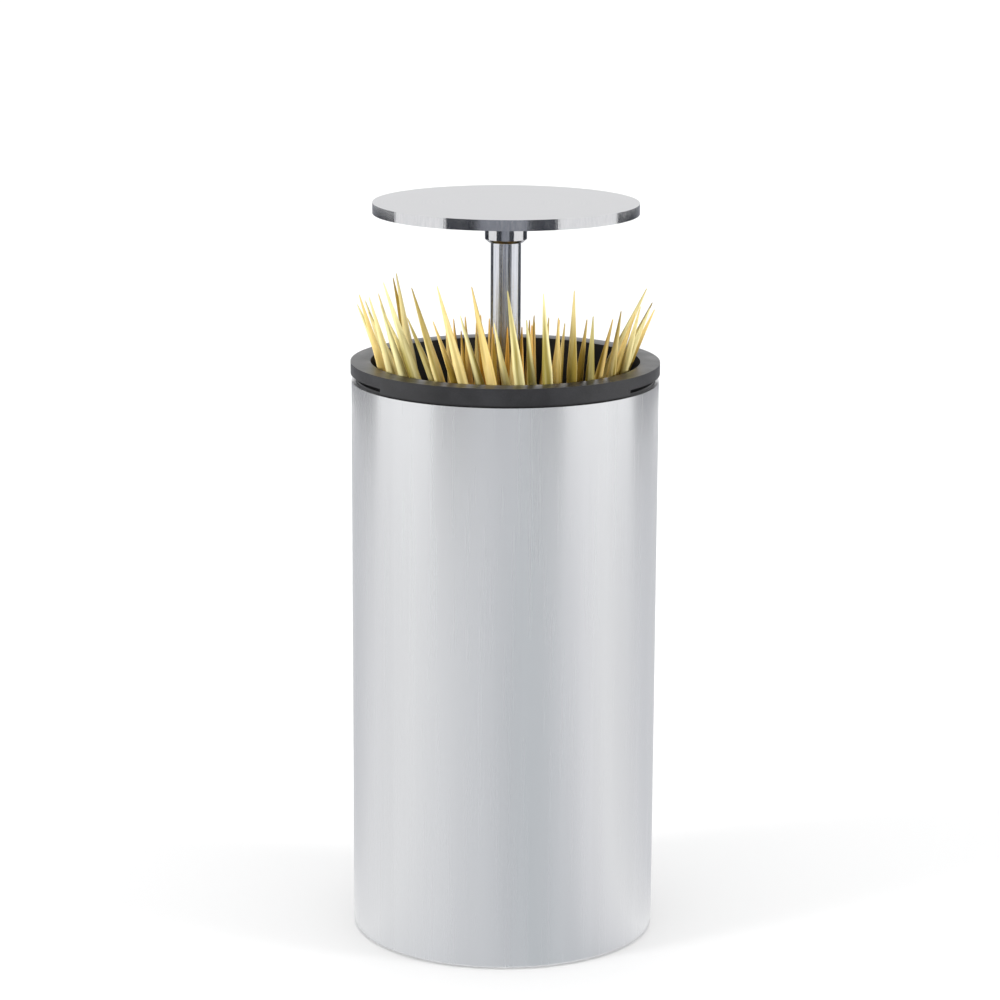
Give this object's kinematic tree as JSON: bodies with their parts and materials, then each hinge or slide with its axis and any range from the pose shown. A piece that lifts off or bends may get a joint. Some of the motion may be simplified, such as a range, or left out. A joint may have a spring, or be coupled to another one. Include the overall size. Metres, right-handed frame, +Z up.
{
  "type": "toothpick dispenser",
  "caption": "Round table dispenser for toothpicks: metal sleeve, black rim, and a disc knob on a rod that raises a stepped lifter so the picks fan out over the rim.",
  "frame": {"origin": "centre of the base, on the surface that the dispenser stands on", "axes": "+Z up along the rod, -Y towards the front of the picture"},
  "size_m": [0.0604, 0.0604, 0.1456],
  "materials": {
    "sleeve_metal": "satin",
    "knob_metal": "satin",
    "rod_steel": "polished",
    "steel": "plain",
    "black_plastic": "matte",
    "ring_rubber": "matte",
    "pad_rubber": "matte",
    "pick_wood": "raw"
  },
  "bodies": {
    "base": {"foot_pad": "pad_rubber", "outer_sleeve": "sleeve_metal", "inner_cup": "black_plastic", "rim_ring": "black_plastic"},
    "ring_carrier": {"friction_ring": "ring_rubber"},
    "plunger": {"knob_disc": "knob_metal", "knob_stud": "steel", "collar": "knob_metal", "rod": "rod_steel", "lifter": "black_plastic", "lifter_washer": "steel", "lifter_screw": "steel", "well_picks_group": "pick_wood"},
    "spoke_01": {"pick_spoke_01": "pick_wood"},
    "spoke_02": {"pick_spoke_02": "pick_wood"},
    "spoke_03": {"pick_spoke_03": "pick_wood"},
    "spoke_04": {"pick_spoke_04": "pick_wood"},
    "spoke_05": {"pick_spoke_05": "pick_wood"},
    "spoke_06": {"pick_spoke_06": "pick_wood"},
    "spoke_07": {"pick_spoke_07": "pick_wood"},
    "spoke_08": {"pick_spoke_08": "pick_wood"},
    "spoke_09": {"pick_spoke_09": "pick_wood"},
    "spoke_10": {"pick_spoke_10": "pick_wood"},
    "spoke_11": {"pick_spoke_11": "pick_wood"},
    "spoke_12": {"pick_spoke_12": "pick_wood"},
    "spoke_13": {"pick_spoke_13": "pick_wood"},
    "spoke_14": {"pick_spoke_14": "pick_wood"},
    "spoke_15": {"pick_spoke_15": "pick_wood"},
    "spoke_16": {"pick_spoke_16": "pick_wood"},
    "spoke_17": {"pick_spoke_17": "pick_wood"},
    "spoke_18": {"pick_spoke_18": "pick_wood"}
  },
  "joints": [
    {"name": "knob_lift", "type": "slide", "parent": "base", "child": "ring_carrier", "axis": [0, 0, 1], "range_m": [-0.0309, 0]},
    {"name": "knob_turn", "type": "hinge", "parent": "ring_carrier", "child": "plunger", "pos_m": [0, 0, 0.05], "axis": [0, 0, 1], "continuous": true},
    {"name": "lean_01", "type": "hinge", "parent": "plunger", "child": "spoke_01", "pos_m": [-0.0065, -0.00679, 0.0655], "axis": [0.7466, 0.6653, 0], "range_deg": [-0.2, 11.12]},
    {"name": "lean_02", "type": "hinge", "parent": "plunger", "child": "spoke_02", "pos_m": [-0.00482, -0.00807, 0.0655], "axis": [0.5798, 0.8147, 0], "range_deg": [-0.2, 11.12]},
    {"name": "lean_03", "type": "hinge", "parent": "plunger", "child": "spoke_03", "pos_m": [-0.00291, -0.00894, 0.0655], "axis": [0.384, 0.9233, 0], "range_deg": [-0.2, 11.12]},
    {"name": "lean_04", "type": "hinge", "parent": "plunger", "child": "spoke_04", "pos_m": [-0.00084, -0.00936, 0.0655], "axis": [0.1767, 0.9843, 0], "range_deg": [-0.2, 10.43]},
    {"name": "lean_05", "type": "hinge", "parent": "plunger", "child": "spoke_05", "pos_m": [0.00126, -0.00932, 0.0655], "axis": [-0.0386, 0.9993, 0], "range_deg": [-0.2, 9.74]},
    {"name": "lean_06", "type": "hinge", "parent": "plunger", "child": "spoke_06", "pos_m": [0.0033, -0.0088, 0.0655], "axis": [-0.2517, 0.9678, 0], "range_deg": [-0.2, 9.05]},
    {"name": "lean_07", "type": "hinge", "parent": "plunger", "child": "spoke_07", "pos_m": [0.00518, -0.00784, 0.0655], "axis": [-0.4529, 0.8916, 0], "range_deg": [-0.2, 8.36]},
    {"name": "lean_08", "type": "hinge", "parent": "plunger", "child": "spoke_08", "pos_m": [0.00679, -0.0065, 0.0655], "axis": [-0.6396, 0.7687, 0], "range_deg": [-0.2, 8.33]},
    {"name": "lean_09", "type": "hinge", "parent": "plunger", "child": "spoke_09", "pos_m": [0.00807, -0.00482, 0.0655], "axis": [-0.7946, 0.6071, 0], "range_deg": [-0.2, 8.33]},
    {"name": "lean_10", "type": "hinge", "parent": "plunger", "child": "spoke_10", "pos_m": [0.00894, -0.00291, 0.0655], "axis": [-0.9098, 0.4151, 0], "range_deg": [-0.2, 8.33]},
    {"name": "lean_11", "type": "hinge", "parent": "plunger", "child": "spoke_11", "pos_m": [0.00936, -0.00084, 0.0655], "axis": [-0.9793, 0.2022, 0], "range_deg": [-0.2, 8.33]},
    {"name": "lean_12", "type": "hinge", "parent": "plunger", "child": "spoke_12", "pos_m": [0.00932, 0.00126, 0.0655], "axis": [-0.9998, -0.0208, 0], "range_deg": [-0.2, 8.33]},
    {"name": "lean_13", "type": "hinge", "parent": "plunger", "child": "spoke_13", "pos_m": [0.0088, 0.0033, 0.0655], "axis": [-0.97, -0.2431, 0], "range_deg": [-0.2, 8.36]},
    {"name": "lean_14", "type": "hinge", "parent": "plunger", "child": "spoke_14", "pos_m": [0.00784, 0.00518, 0.0655], "axis": [-0.8875, -0.4607, 0], "range_deg": [-0.2, 9.05]},
    {"name": "lean_15", "type": "hinge", "parent": "plunger", "child": "spoke_15", "pos_m": [0.0065, 0.00679, 0.0655], "axis": [-0.7572, -0.6532, 0], "range_deg": [-0.2, 9.74]},
    {"name": "lean_16", "type": "hinge", "parent": "plunger", "child": "spoke_16", "pos_m": [0.00482, 0.00807, 0.0655], "axis": [-0.5863, -0.8101, 0], "range_deg": [-0.2, 10.43]},
    {"name": "lean_17", "type": "hinge", "parent": "plunger", "child": "spoke_17", "pos_m": [0.00291, 0.00894, 0.0655], "axis": [-0.384, -0.9233, 0], "range_deg": [-0.2, 11.12]},
    {"name": "lean_18", "type": "hinge", "parent": "plunger", "child": "spoke_18", "pos_m": [0.00084, 0.00936, 0.0655], "axis": [-0.1689, -0.9856, 0], "range_deg": [-0.2, 11.12]}
  ],
  "couplings": [
    {"joint": "lean_01", "follows": "knob_lift", "rad_per_m": -6.1087},
    {"joint": "lean_02", "follows": "knob_lift", "rad_per_m": -6.1087},
    {"joint": "lean_03", "follows": "knob_lift", "rad_per_m": -6.1087},
    {"joint": "lean_04", "follows": "knob_lift", "rad_per_m": -5.7203},
    {"joint": "lean_05", "follows": "knob_lift", "rad_per_m": -5.3319},
    {"joint": "lean_06", "follows": "knob_lift", "rad_per_m": -4.9435},
    {"joint": "lean_07", "follows": "knob_lift", "rad_per_m": -4.5551},
    {"joint": "lean_08", "follows": "knob_lift", "rad_per_m": -4.5379},
    {"joint": "lean_09", "follows": "knob_lift", "rad_per_m": -4.5379},
    {"joint": "lean_10", "follows": "knob_lift", "rad_per_m": -4.5379},
    {"joint": "lean_11", "follows": "knob_lift", "rad_per_m": -4.5379},
    {"joint": "lean_12", "follows": "knob_lift", "rad_per_m": -4.5379},
    {"joint": "lean_13", "follows": "knob_lift", "rad_per_m": -4.5551},
    {"joint": "lean_14", "follows": "knob_lift", "rad_per_m": -4.9435},
    {"joint": "lean_15", "follows": "knob_lift", "rad_per_m": -5.3319},
    {"joint": "lean_16", "follows": "knob_lift", "rad_per_m": -5.7203},
    {"joint": "lean_17", "follows": "knob_lift", "rad_per_m": -6.1087},
    {"joint": "lean_18", "follows": "knob_lift", "rad_per_m": -6.1087}
  ]
}
